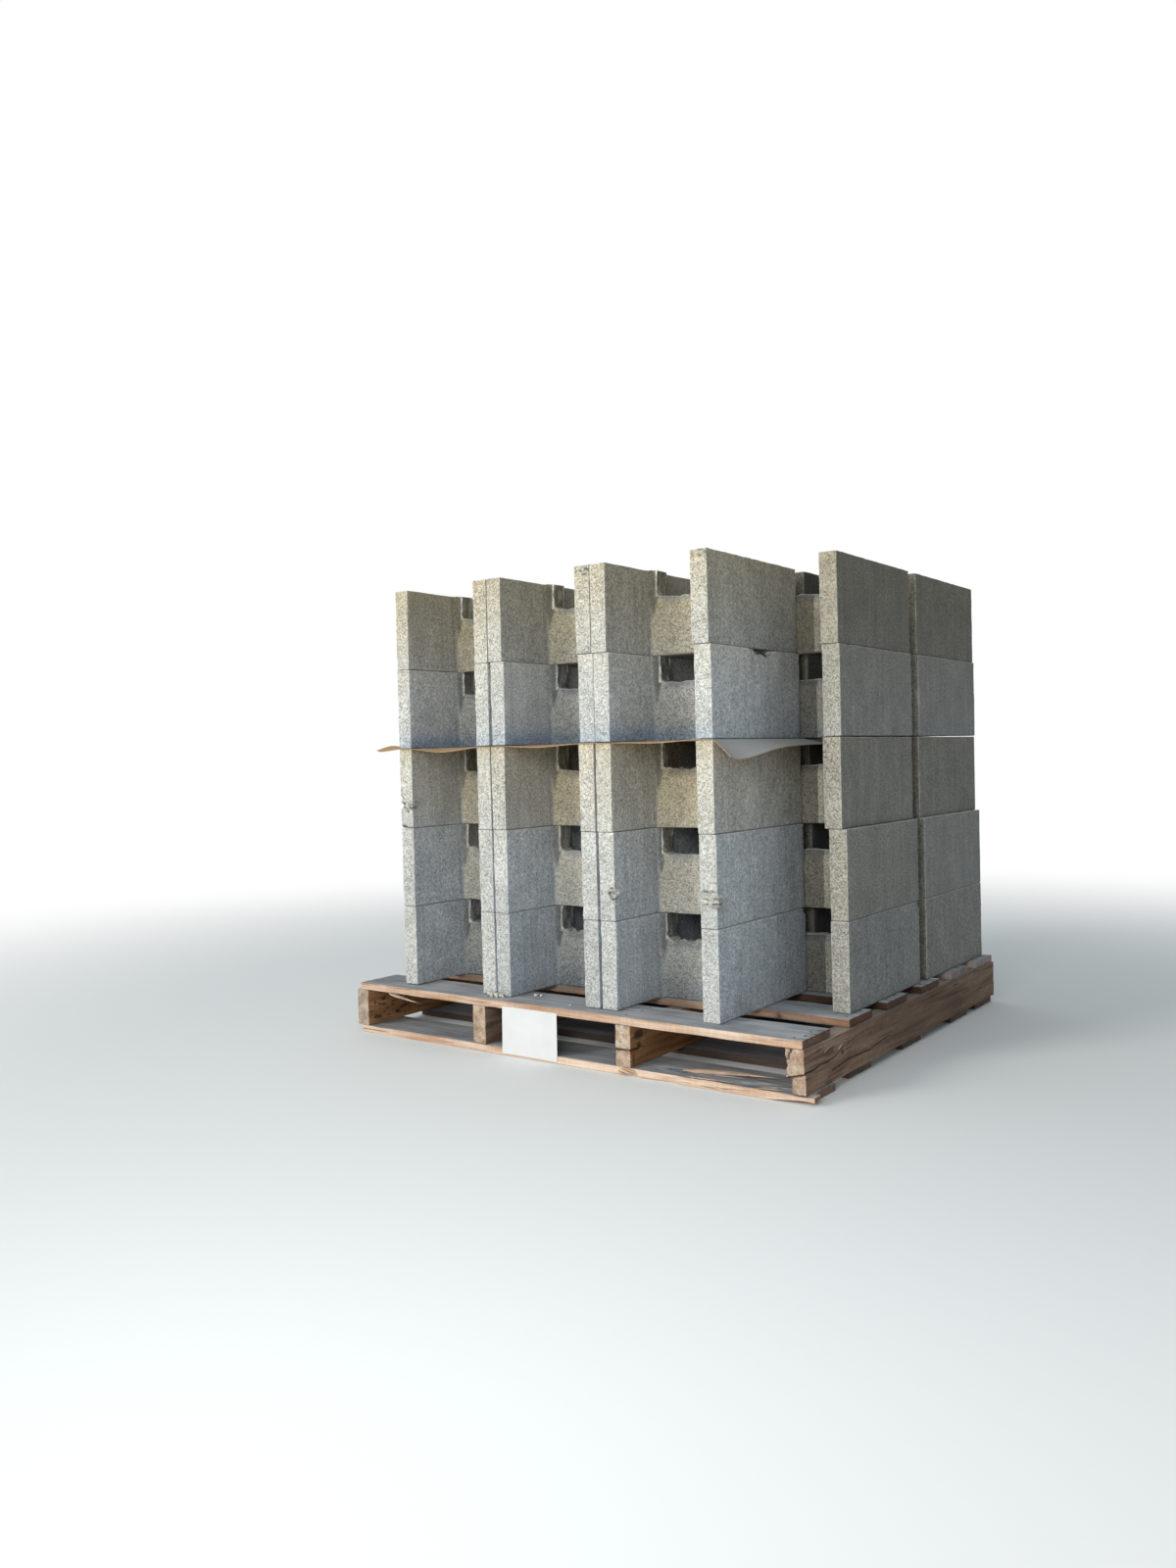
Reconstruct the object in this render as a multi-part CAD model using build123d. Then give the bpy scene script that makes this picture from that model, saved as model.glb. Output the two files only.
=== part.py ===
from build123d import *
import math
import os

# A pallet loaded with open-ended bond-beam concrete blocks.
# Millimetres. X runs along the front, Y from the front to the back, Z up.
# The origin lies on the floor under the middle of the pallet.

# Concrete block: two long shells joined by one web, open at both ends
block_width = 295.3
block_length = 396.9
block_height = 193.7
shell_thickness = 41.0
web_thickness = 40.0

# The cores that form the cells taper, so the shells and the web are thinner at the bottom
core_draft = 1.0

# The web meets the shells in flares, wide at the top and narrow at the bottom
flare_bottom = 10.0
flare_top = 22.0

# The bond-beam window is broken out of the web's top, between two ribs,
# and the web slopes back to the window's sill on both faces
window_depth = 60.0
window_rib = 18.0
window_corner_radius = 14.0
shoulder_height = 20.0
shoulder_depth = 8.0

# Load: courses of interlocked rows, each row pushed into the open ends of the next
course_count = 5
row_count = 4
blocks_in_row = 3
row_gap = 1.5
load_setback = 41.0

# For each course from the bottom: where its row starts from the load's left face, the
# two upright joints between its blocks, and the room between the shells of its even
# rows and the flares of the blocks around them
course_layout = {
    1: (0.5, (4.5, 6.5), 5.8),
    2: (0.0, (4.5, 6.5), 5.3),
    3: (0.0, (3.5, 5.0), 13.3),
    4: (-0.5, (8.0, 1.0), 11.3),
    5: (0.0, (2.5, 1.0), 9.3),
}
load_inset_left = 121.5

# Paper sheet laid between the third and the fourth course
sheet_above_course = 3
sheet_width = 1016.0
sheet_length = 1067.0
sheet_thickness = 1.5
sheet_overhang_left = 66.0
sheet_overhang_front = 3.0

# Pallet: four stringers from front to back, boards across them above and below
stringer_width = 38.0
stringer_height = 89.0
stringer_length = 1118.0
stringer_proud = 8.5
inner_stringer_shift = (-11.0, -5.0)
board_length = 1219.0
board_thickness = 17.5
lead_board_width = 124.0
board_width = 115.0
deck_board_count = 6
deck_board_drift = (0.0, 13.0, 9.0, 12.0, 13.0, 0.0)
deck_board_shift = 4.0
front_bottom_board_extra = 21.0
front_bottom_board_shift = 17.0

# Blank card on the front edges of the two front lead boards
card_width = 158.0
card_height = 108.0
card_thickness = 0.8
card_left = -140.0
card_lap = 6.0

deck_top = board_thickness + stringer_height + board_thickness
load_left = load_inset_left - board_length / 2
load_front = load_setback - stringer_length / 2
cell_width = block_width - 2 * shell_thickness
cell_length = (block_length - web_thickness) / 2
window_width = cell_width - 2 * window_rib
row_pitch = cell_length + web_thickness + row_gap


def block():
    """One block, its front left bottom corner at the origin."""
    solid = Pos(block_width / 2, block_length / 2, block_height / 2) * Box(
        block_width, block_length, block_height
    )
    for end, side in ((0.0, 1), (block_length, -1)):
        solid -= Pos(block_width / 2, end, 0) * open_cell()
        solid -= Pos(block_width / 2, end + side * cell_length, block_height) * shoulder(side)
    return solid - Pos(block_width / 2, block_length / 2, block_height) * web_window()


def open_cell():
    """The space in an open end, as a cutter whose corners leave the flares standing."""
    # It is cut twice its length, so that its outer half leaves the end open
    outline = Rectangle(cell_width + 2 * core_draft, 2 * (cell_length + core_draft))
    taper = math.degrees(math.atan2(core_draft, block_height))
    cell = extrude(outline, block_height, taper=taper)
    slope = (flare_top - flare_bottom) / block_height
    for side in (-1, 1):
        for end in (-1, 1):
            flare = Plane(
                origin=(side * (cell_width / 2 - flare_bottom), end * cell_length, 0),
                z_dir=(side, end, slope),
            )
            cell = split(cell, bisect_by=flare, keep=Keep.BOTTOM)
    return cell


def shoulder(side):
    """A wedge that slopes one face of the web back to the window's sill, as a cutter."""
    sill = -window_depth
    profile = Plane.YZ * Polygon(
        (0, sill - shoulder_height),
        (side * shoulder_depth, sill),
        (-side * shoulder_depth, sill),
        align=None,
    )
    return extrude(profile, window_width / 2 - window_corner_radius, both=True)


def web_window():
    """The gap in the web's top, with round lower corners, as a cutter."""
    # The outline is twice as high as the window, so that its upper half leaves the top open
    outline = RectangleRounded(window_width, 2 * window_depth, window_corner_radius)
    return extrude(Plane.XZ * outline, web_thickness, both=True)


def course_bottom(course):
    """Height of a course's underside, counting the sheet where it lies below."""
    sheet = sheet_thickness if course > sheet_above_course else 0.0
    return deck_top + (course - 1) * block_height + sheet


def block_row(unit, course, row):
    """The blocks of one row, side by side with open joints between them."""
    start, joints, room = course_layout[course]
    left = load_left + start
    if row % 2 == 0:
        left += cell_width - flare_top - room
    front = load_front + (row - 1) * row_pitch
    blocks = []
    for number in range(blocks_in_row):
        step = number * block_width + sum(joints[:number])
        blocks.append(Pos(left + step, front, course_bottom(course)) * unit)
    return Compound(children=blocks)


def stringer_places():
    """X of the middle of each stringer, from left to right."""
    outer = board_length / 2 + stringer_proud - stringer_width / 2
    third = 2 * outer / 3
    left_shift, right_shift = inner_stringer_shift
    return (-outer, third - outer + left_shift, outer - third + right_shift, outer)


def stringer(middle):
    return Pos(middle, 0, board_thickness + stringer_height / 2) * Box(
        stringer_width, stringer_length, stringer_height
    )


def deck_board_places():
    """Y of the middle of each deck board, from the front to the back."""
    first = (lead_board_width - stringer_length) / 2
    pitch = -2 * first / (deck_board_count - 1)
    return [first + i * pitch + deck_board_drift[i] for i in range(deck_board_count)]


def board(middle_x, middle_y, underside, width, length=board_length):
    return Pos(middle_x, middle_y, underside + board_thickness / 2) * Box(
        length, width, board_thickness
    )


def interleaf():
    left = load_left - sheet_overhang_left
    front = load_front - sheet_overhang_front
    height = course_bottom(sheet_above_course) + block_height + sheet_thickness / 2
    return Pos(left + sheet_width / 2, front + sheet_length / 2, height) * Box(
        sheet_width, sheet_length, sheet_thickness
    )


def number_card():
    """The card laps a little way up the top board and hangs down over the bottom one."""
    top = deck_top - board_thickness + card_lap
    front = -stringer_length / 2 - card_thickness / 2
    return Pos(card_left + card_width / 2, front, top - card_height / 2) * Box(
        card_width, card_thickness, card_height
    )


def pallet():
    pieces = {}
    stringer_names = ("left", "middle_left", "middle_right", "right")
    for name, middle in zip(stringer_names, stringer_places()):
        pieces["stringer_" + name] = stringer(middle)

    deck_places = deck_board_places()
    last = deck_board_count - 1
    for number, place in enumerate(deck_places):
        width = lead_board_width if number in (0, last) else board_width
        pieces[f"deck_board_{number + 1}"] = board(
            deck_board_shift, place, deck_top - board_thickness, width
        )

    # The inner bottom boards lie under the second and the last but one deck boards
    front_length = board_length + front_bottom_board_extra
    pieces["bottom_board_1"] = board(
        front_bottom_board_shift, deck_places[0], 0.0, lead_board_width, front_length
    )
    for number, place in enumerate((deck_places[1], 0.0, deck_places[-2])):
        pieces[f"bottom_board_{number + 2}"] = board(0.0, place, 0.0, board_width)
    pieces["bottom_board_5"] = board(0.0, deck_places[-1], 0.0, lead_board_width)
    return pieces


def load():
    unit = block()
    pieces = {}
    for course in range(1, course_count + 1):
        for row in range(1, row_count + 1):
            pieces[f"blocks_course_{course}_row_{row}"] = block_row(unit, course, row)
    pieces["interleaf_sheet"] = interleaf()
    return pieces


os.makedirs("parts", exist_ok=True)
for node, piece in {**pallet(), **load(), "number_card": number_card()}.items():
    export_step(piece, f"parts/{node}.step")
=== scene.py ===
import itertools
import math

import bpy
import numpy as np
from mathutils import Matrix, Vector


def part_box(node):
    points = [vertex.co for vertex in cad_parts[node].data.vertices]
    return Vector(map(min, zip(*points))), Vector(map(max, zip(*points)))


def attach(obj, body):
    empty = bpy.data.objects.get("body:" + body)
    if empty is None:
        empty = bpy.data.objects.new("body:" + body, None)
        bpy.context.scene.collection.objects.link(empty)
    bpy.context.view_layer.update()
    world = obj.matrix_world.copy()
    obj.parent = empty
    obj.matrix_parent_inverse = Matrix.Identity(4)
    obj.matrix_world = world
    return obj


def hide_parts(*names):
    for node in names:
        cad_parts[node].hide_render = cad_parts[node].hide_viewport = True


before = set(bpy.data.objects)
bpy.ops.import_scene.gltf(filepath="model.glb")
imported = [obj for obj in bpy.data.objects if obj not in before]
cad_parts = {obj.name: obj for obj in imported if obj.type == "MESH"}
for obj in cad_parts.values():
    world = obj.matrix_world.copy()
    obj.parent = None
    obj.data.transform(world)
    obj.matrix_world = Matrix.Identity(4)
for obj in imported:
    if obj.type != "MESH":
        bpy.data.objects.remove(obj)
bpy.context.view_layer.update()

# Lengths are in millimetres and are turned into metres where a mesh is made
MM = 0.001

# The concrete block and the load, as in the CAD model
WIDTH, LENGTH, HEIGHT = 295.3, 396.9, 193.7
SHELL, WEB = 41.0, 40.0
DRAFT = 1.0
WINDOW_RIB, WINDOW_DEPTH, CORNER_RADIUS = 18.0, 60.0, 14.0
SHOULDER_HEIGHT, SHOULDER_DEPTH = 20.0, 8.0
COURSES, ROWS = 5, 4

MIDDLE = WIDTH / 2
FAR_SHELL = WIDTH - SHELL
WEB_FRONT, WEB_MIDDLE, WEB_BACK = (LENGTH - WEB) / 2, LENGTH / 2, (LENGTH + WEB) / 2
WINDOW_LEFT = SHELL + WINDOW_RIB
WINDOW_RIGHT = WIDTH - WINDOW_LEFT
WINDOW_HALF = (WINDOW_RIGHT - WINDOW_LEFT) / 2
SILL = HEIGHT - WINDOW_DEPTH

# Curved flares between shell and web: radius at the bottom and at the top, and reach on each face
FLARE_LOW, FLARE_HIGH, FLARE_ZONE = 14.0, 26.0, 26.0

# The smooth ribs beside the window run out in a point this far below it
RIB_TAIL = 50.0

# Width of the narrow band of cells along each edge of a block and of a board, which is rubbed
EDGE, BOARD_EDGE = 2.5, 1.6

# A point of a grid lies on a face when it is nearer than this
TOUCH = 0.01

# Spacing of a grid's lines: along blocks of the front row, along the others, in damaged patches,
# across the ragged sills of the front row, across boards, and in the paper sheet and the card
FRONT_STEP, INNER_STEP, PATCH_STEP, SILL_STEP = 8.0, 17.0, 2.4, 5.0
BOARD_STEP, SHEET_STEP, CARD_STEP = 8.0, 11.0, 8.0


def add_object(name, data):
    """A new object with this data, linked to the scene."""
    made = bpy.data.objects.new(name, data)
    bpy.context.scene.collection.objects.link(made)
    return made


def make_camera():
    """The photo's camera: its turns in degrees and its place in metres were fitted to the photo."""
    data = bpy.data.cameras.new("camera")
    data.lens = 27.4
    data.sensor_width = 36.0
    data.clip_start = 0.05
    camera = add_object("camera", data)
    turns = ((36.52, "Z"), (90 - 1.278, "X"), (-1.397, "Z"))
    yaw, pitch, roll = (Matrix.Rotation(math.radians(angle), 4, axis) for angle, axis in turns)
    camera.matrix_world = Matrix.Translation((1.642, -2.6143, 0.6748)) @ yaw @ pitch @ roll
    bpy.context.scene.camera = camera
    bpy.context.scene.view_settings.view_transform = "Standard"


make_camera()


# Noise, from a fixed table of random numbers that is looked up by a hash of the grid cell
TABLE = np.random.default_rng(5).random(8192) * 2 - 1
HASH = np.array((73856093, 19349663, 83492791))


def ease(value):
    """0 below 0, 1 above 1 and smooth between."""
    value = np.clip(value, 0, 1)
    return value * value * (3 - 2 * value)


def noise(points, size, seed):
    """Smooth noise from -1 to 1. Size is how far apart its features lie, one number or one per axis."""
    spot = points / np.asarray(size, float) + 31.7 * seed
    base = np.floor(spot).astype(np.int64)
    part = ease(spot - base)
    total = np.zeros(len(points))
    for corner in itertools.product((0, 1), repeat=3):
        key = np.bitwise_xor.reduce((base + corner) * HASH, axis=1)
        total += np.prod(np.where(corner, part, 1 - part), axis=1) * TABLE[key % len(TABLE)]
    return total


def within(values, low, high):
    return (values > low) & (values < high)


def on(values, place):
    return np.abs(values - place) < TOUCH


def mark(marks, key, strength):
    """Raises an attribute wherever it is weaker than strength."""
    marks[key] = np.maximum(marks[key], strength)


# Meshes
def lines(breaks, step):
    """The breaks, with even lines between them no further apart than step."""
    found = [breaks[0]]
    for start, end in zip(breaks, breaks[1:]):
        count = max(1, math.ceil((end - start) / step - 0.001))
        found += [start + (end - start) * i / count for i in range(1, count + 1)]
    return np.array(found)


class Cells:
    """The outside of the filled cells of a grid, with what lies around each of its points."""

    def __init__(self, xs, ys, zs, solid=None):
        axes = (xs, ys, zs)
        shape = tuple(len(a) for a in axes)
        if solid is None:
            solid = np.ones([count - 1 for count in shape], bool)
        padded = np.pad(solid, 1).astype(np.int8)
        number = np.arange(np.prod(shape)).reshape(shape)
        quads, sides = [], []
        for axis in range(3):
            inner = [slice(1, -1)] * 3
            inner[axis] = slice(1, None)
            outer = list(inner)
            outer[axis] = slice(None, -1)
            change = padded[tuple(inner)] - padded[tuple(outer)]
            second, third = (axis + 1) % 3, (axis + 2) % 3
            for sign in (1, -1):
                at = np.argwhere(change == -sign)
                steps = [np.zeros(3, int) for _ in range(4)]
                steps[1][second] = 1
                steps[2][second] = steps[2][third] = 1
                steps[3][third] = 1
                if sign < 0:
                    steps = steps[::-1]
                quads.append(np.stack([number[tuple((at + s).T)] for s in steps], axis=1))
                sides.append(np.full(len(at), (axis + 1) * sign))
        quads = np.concatenate(quads)
        used, places = np.unique(quads, return_inverse=True)
        self.quads = places.reshape(quads.shape)
        self.side = np.concatenate(sides)
        index = np.stack(np.unravel_index(used, shape), axis=1)
        self.grid = np.stack([axes[a][index[:, a]] for a in range(3)], axis=1)
        self.middle = self.grid[self.quads].mean(axis=1)

        # Each point has eight cells around it
        count = np.zeros(len(used), int)
        inward = np.zeros((len(used), 3))
        for corner in itertools.product((0, 1), repeat=3):
            filled = padded[tuple((index + corner).T)]
            count += filled
            inward += filled[:, None] * (np.array(corner) * 2 - 1)
        self.inward = np.sign(inward)
        self.facing = self.inward * (np.abs(inward) > 3)
        self.convex = count <= 2
        self.flat = count == 4

    def handle(self, points, rub, swell):
        """Moves the points of outer edges in by rub, and those of flat faces out by swell."""
        points[self.convex] += (self.inward * rub[:, None])[self.convex]
        points[self.flat] -= (self.facing * swell[:, None])[self.flat]


def make_piece(name, points, quads, grain, material, corner=None, point=None, sharp=50):
    """A mesh object in metres, with its grain coordinates and its attributes by corner and by point."""
    mesh = bpy.data.meshes.new(name)
    mesh.vertices.add(len(points))
    mesh.vertices.foreach_set("co", (points * MM).astype(np.float32).ravel())
    mesh.loops.add(quads.size)
    mesh.loops.foreach_set("vertex_index", quads.astype(np.int32).ravel())
    mesh.polygons.add(len(quads))
    starts = np.arange(0, quads.size, quads.shape[1], dtype=np.int32)
    mesh.polygons.foreach_set("loop_start", starts)
    mesh.update(calc_edges=True)
    mesh.polygons.foreach_set("use_smooth", np.ones(len(quads), bool))
    mesh.set_sharp_from_angle(angle=math.radians(sharp))
    kinds = (
        ("FLOAT", "CORNER", "value", corner or {}),
        ("FLOAT", "POINT", "value", point or {}),
        ("FLOAT_VECTOR", "POINT", "vector", {"grain": grain}),
    )
    for kind, domain, field, attributes in kinds:
        for key, values in attributes.items():
            made = mesh.attributes.new(key, kind, domain)
            made.data.foreach_set(field, values.astype(np.float32).ravel())
    mesh.materials.append(material)
    return add_object(name, mesh)


def make_joined(name, parts, material):
    """One mesh of several parts, each with points, quads, grain and attributes by corner and by point."""
    points, quads, grains, *attributes = zip(*parts)
    starts = np.cumsum([0] + [len(p) for p in points])
    shifted = [q + start for q, start in zip(quads, starts)]
    meshed = [np.concatenate(pieces) for pieces in (points, shifted, grains)]
    merged = [{key: np.concatenate([part[key] for part in kind]) for key in kind[0]} for kind in attributes]
    return make_piece(name, *meshed, material, *merged)


def box_mm(node):
    """The low and the high corner of a CAD node."""
    return [np.array(corner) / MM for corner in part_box(node)]


def stand_for(piece, node):
    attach(piece, "root")
    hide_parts(node)


# Material nodes
WHITE = (1.0, 1.0, 1.0, 1.0)


def colour(*parts):
    """An sRGB colour of 0 to 255 as the shader's linear one."""
    parts = [value / 255 for value in parts]
    linear = [v / 12.92 if v <= 0.04045 else ((v + 0.055) / 1.055) ** 2.4 for v in parts]
    return (*linear, 1.0)


class Nodes:
    """Node making for a new material or for the world."""

    def __init__(self, owner):
        owner.use_nodes = True
        self.owner = owner
        self.tree = owner.node_tree

    def plug(self, name, inputs):
        """Links the inputs of the named node to sockets, or sets them to plain numbers or colours."""
        node = self.tree.nodes[name]
        for key, value in inputs.items():
            if isinstance(value, bpy.types.NodeSocket):
                self.tree.links.new(value, node.inputs[key])
            else:
                node.inputs[key].default_value = value
        return node

    def node(self, kind, inputs, **settings):
        made = self.tree.nodes.new("ShaderNode" + kind)
        for key, value in settings.items():
            setattr(made, key, value)
        return self.plug(made.name, inputs)

    def attributes(self, *names):
        """The mesh's grain coordinates, and then its attributes of these names as numbers."""
        found = [self.node("Attribute", {}, attribute_name="grain").outputs["Vector"]]
        for name in names:
            found.append(self.node("Attribute", {}, attribute_name=name).outputs["Fac"])
        return found

    def noise(self, vector, scale, detail=2.0, roughness=0.5):
        """Noise with one scale, or with one for each axis."""
        if isinstance(scale, tuple):
            vector = self.node("VectorMath", {0: vector, 1: scale}, operation="MULTIPLY").outputs[0]
            scale = 1.0
        inputs = {"Vector": vector, "Scale": scale, "Detail": detail, "Roughness": roughness}
        return self.node("TexNoise", inputs).outputs["Fac"]

    def calc(self, operation, first, second=0.0, third=0.0):
        inputs = {0: first, 1: second, 2: third}
        return self.node("Math", inputs, operation=operation).outputs[0]

    def times(self, first, second):
        return self.calc("MULTIPLY", first, second)

    def total(self, *parts):
        """The sum of values, each multiplied by its share."""
        found = 0.0
        for value, share in parts:
            found = self.calc("MULTIPLY_ADD", value, share, found)
        return found

    def remap(self, value, low, high, to_low=0.0, to_high=1.0, **settings):
        inputs = {"Value": value, "From Min": low, "From Max": high}
        inputs.update({"To Min": to_low, "To Max": to_high})
        return self.node("MapRange", inputs, **settings).outputs[0]

    def mix(self, factor, first, second, blend="MIX"):
        inputs = {0: factor, 6: first, 7: second}
        return self.node("Mix", inputs, data_type="RGBA", blend_type=blend).outputs[2]

    def tint(self, base, shade, factor=1.0):
        """The base colour, multiplied by the shade as far as the factor goes."""
        return self.mix(factor, base, shade, "MULTIPLY")

    def ramp(self, value, *stops):
        made = self.node("ValToRGB", {0: value})
        stripe = made.color_ramp.elements
        while len(stripe) < len(stops):
            stripe.new(0.5)
        for element, (place, shade) in zip(stripe, stops):
            element.position = place
            element.color = shade
        return made.outputs["Color"]

    def seen_directly(self):
        """1 for what the camera sees, by itself or mirrored, and 0 for light that bounces."""
        path = self.node("LightPath", {})
        return self.calc("MAXIMUM", path.outputs["Is Camera Ray"], path.outputs["Is Glossy Ray"])

    def finish(self, base, roughness, bump, specular=0.5, metallic=0.0):
        """Plugs the shader. The bump is a height, its size in metres and its strength."""
        height, distance, strength = bump
        inputs = {"Height": height, "Distance": distance, "Strength": strength}
        normal = self.node("Bump", inputs).outputs[0]
        inputs = {"Base Color": base, "Roughness": roughness, "Normal": normal}
        inputs.update({"Specular IOR Level": specular, "Metallic": metallic})
        self.plug("Principled BSDF", inputs)
        return self.owner


def concrete_material():
    s = Nodes(bpy.data.materials.new("concrete"))
    names = ("coarse", "stain_and_shade", "broken", "warm", "tone", "worn", "crack_shade")
    grain, coarse, stain_and_shade, broken, warm, tone, worn, crack_shade = s.attributes(*names)

    # The cast ends and webs show light stone grains with dark pores between them
    grains = s.node("TexVoronoi", {"Vector": grain, "Scale": 290.0}).outputs["Color"]
    brightness = s.node("SeparateColor", {0: grains}).outputs[0]
    fine = s.noise(grain, 560.0, 2.0, 0.6)
    pores = s.remap(s.noise(grain, 380.0, 2.0, 0.55), 0.34, 0.42, 1.0, 0.0)
    rough_colour = s.ramp(
        s.total((brightness, 0.55), (fine, 0.6)),
        (0.2, colour(150, 145, 133)),
        (0.5, colour(196, 192, 181)),
        (0.85, colour(226, 223, 212)),
    )
    rough_colour = s.mix(s.times(pores, 0.75), rough_colour, colour(104, 99, 90))

    # The long faces are dragged smooth by the mould, which leaves faint upright lines
    streak = s.noise(grain, (70.0, 70.0, 3.5), 3.0, 0.55)
    sand = s.noise(grain, 240.0, 3.0, 0.65)
    speck = s.noise(grain, 120.0, 2.0, 0.6)
    speckled = s.total((streak, 0.15), (speck, 0.25), (sand, 0.6))
    smooth_colour = s.ramp(
        speckled,
        (0.35, colour(132, 133, 132)),
        (0.5, colour(170, 171, 170)),
        (0.65, colour(208, 209, 207)),
    )
    base = s.mix(coarse, smooth_colour, rough_colour)

    # Patches of a hand's width, and the tint and tone that the attributes give, which hold each block's own
    # tone along with painted light and shade
    patch = s.noise(grain, 14.0, 3.0, 0.55)
    base = s.tint(base, s.ramp(patch, (0.3, colour(232, 232, 232)), (0.7, WHITE)))
    base = s.tint(base, colour(255, 240, 208), s.remap(warm, 0.0, 1.0))
    base = s.tint(base, colour(206, 226, 255), s.remap(warm, 0.0, -2.0))
    base = s.tint(base, tone)

    # Painted shade darkens the flares, the ribs beside the windows and the lower edges of each block,
    # rubbed edges are lighter, and broken concrete is rougher and shows its stones
    uneven = s.remap(s.noise(grain, 60.0, 3.0, 0.6), 0.25, 0.6, 0.55, 1.0)
    base = s.tint(base, colour(182, 181, 178), s.times(stain_and_shade, uneven))
    rubbed = s.times(worn, s.remap(sand, 0.35, 0.6, 0.15, 0.65))
    base = s.mix(rubbed, base, colour(226, 223, 214))
    stony = s.remap(s.noise(grain, 170.0, 3.0, 0.7), 0.35, 0.65)
    stones = s.mix(stony, colour(140, 137, 130), colour(220, 217, 208))
    base = s.mix(s.times(broken, 0.8), base, stones)
    # Painted shade in cracks, chip outlines, pits and deep holes
    base = s.mix(crack_shade, base, colour(52, 50, 46))

    cast_height = s.total((brightness, 0.5), (fine, 0.5), (pores, -1.0))
    dragged_height = s.total((speckled, 0.9), (streak, 0.15))
    height = s.node("Mix", {0: coarse, 2: dragged_height, 3: cast_height}).outputs[0]
    jagged = s.times(s.noise(grain, 130.0, 4.0, 0.7), broken)
    bump = (s.total((height, 1.0), (jagged, 4.0)), 0.0009, 0.9)
    return s.finish(base, s.remap(sand, 0.3, 0.7, 0.84, 0.96), bump, specular=0.25)


def wood_material(name, *tones):
    """Sawn wood. Tones: bare wood, light and dark, and weathered wood, light and dark."""
    tan_light, tan_dark, grey_light, grey_dark = (colour(*tone) for tone in tones)
    s = Nodes(bpy.data.materials.new(name))
    grain, grey, dark, stain_and_shade, fresh = s.attributes("grey", "dark", "stain_and_shade", "fresh")

    def drawn_out(lengthwise, crosswise, detail, roughness):
        """Noise that runs with the fibres."""
        return s.noise(grain, (lengthwise, crosswise, crosswise), detail, roughness)

    rings = s.calc("PINGPONG", s.times(drawn_out(0.9, 25.0, 1.5, 0.5), 11.0), 1.0)
    fibre = drawn_out(9.0, 330.0, 3.0, 0.6)
    broad = drawn_out(4.0, 46.0, 3.0, 0.6)
    saw = drawn_out(230.0, 14.0, 2.0, 0.6)
    mixed = s.total((s.total((rings, 0.2), (fibre, 0.8)), 0.76), (saw, 0.24))
    tan = s.ramp(mixed, (0.27, tan_dark), (0.65, tan_light))
    tan = s.tint(tan, colour(214, 190, 172), s.remap(broad, 0.42, 0.66))
    patch = drawn_out(7.0, 19.0, 2.0, 0.55)
    weathered = s.total((broad, 0.22), (mixed, 0.4), (patch, 0.38))
    old = s.ramp(weathered, (0.33, grey_dark), (0.64, grey_light))
    worn = s.calc("ADD", grey, s.remap(broad, 0.3, 0.7, -0.22, 0.22))
    worn = s.times(s.remap(worn, 0.25, 0.75), s.remap(grey, 0.02, 0.12))
    base = s.mix(s.times(worn, s.remap(fresh, 0.0, 1.0, 1.0, 0.0)), tan, old)
    base = s.tint(base, colour(255, 220, 178), s.remap(fresh, 1.0, 2.0))

    # Short dark checks along the grain
    checks = s.remap(drawn_out(5.0, 210.0, 2.0, 0.5), 0.3, 0.36, 1.0, 0.0)
    base = s.mix(s.times(checks, 0.6), base, colour(58, 48, 42))
    base = s.tint(base, colour(138, 104, 80), dark)
    # Stains and marks, and painted shade in splits, hollows and dark patches
    base = s.mix(stain_and_shade, base, colour(44, 36, 31))

    bump = (s.total((mixed, 1.0), (checks, -1.5)), 0.0007, 0.8)
    return s.finish(base, s.remap(fibre, 0.3, 0.7, 0.72, 0.92), bump, specular=0.2)


def paper_material():
    s = Nodes(bpy.data.materials.new("kraft_paper"))
    grain, grey_shading = s.attributes("grey_shading")
    fibre = s.noise(grain, 260.0, 3.0, 0.65)
    blotch = s.noise(grain, 9.0, 3.0, 0.6)
    brown = s.ramp(fibre, (0.3, colour(158, 126, 92)), (0.7, colour(190, 158, 120)))
    grey_shade = s.ramp(fibre, (0.3, colour(162, 161, 158)), (0.7, colour(182, 182, 179)))
    # Painted shade: the paper is turned a light grey on its top towards the right
    base = s.mix(s.times(grey_shading, s.remap(blotch, 0.3, 0.5, 0.75, 1.0)), brown, grey_shade)
    bump = (s.total((fibre, 1.0), (blotch, 2.0)), 0.0003, 0.6)
    return s.finish(base, s.remap(fibre, 0.3, 0.7, 0.8, 0.95), bump, specular=0.2)


def card_material():
    s = Nodes(bpy.data.materials.new("card"))
    grain = s.attributes()[0]
    fibre = s.noise(grain, 420.0, 3.0, 0.6)
    cloud = s.noise(grain, 22.0, 2.0, 0.5)
    shades = ((0.3, colour(204, 204, 202)), (0.7, colour(214, 214, 213)))
    base = s.ramp(s.total((fibre, 0.4), (cloud, 0.6)), *shades)
    return s.finish(base, s.remap(fibre, 0.3, 0.7, 0.55, 0.7), (fibre, 0.0001, 0.4), specular=0.3)


def steel_material():
    s = Nodes(bpy.data.materials.new("nail_steel"))
    grain = s.attributes()[0]
    rust = s.noise(grain, 300.0, 3.0, 0.6)
    base = s.ramp(rust, (0.35, colour(46, 38, 34)), (0.65, colour(86, 80, 76)))
    return s.finish(base, s.remap(rust, 0.3, 0.7, 0.5, 0.8), (rust, 0.0003, 0.5), metallic=0.4)


concrete = concrete_material()
board_wood = wood_material(
    "board_wood", (224, 200, 178), (178, 152, 131), (176, 178, 181), (113, 114, 117)
)
stringer_wood = wood_material(
    "stringer_wood", (198, 180, 160), (146, 126, 108), (150, 148, 144), (98, 92, 86)
)
paper = paper_material()
card_white = card_material()
steel = steel_material()


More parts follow.
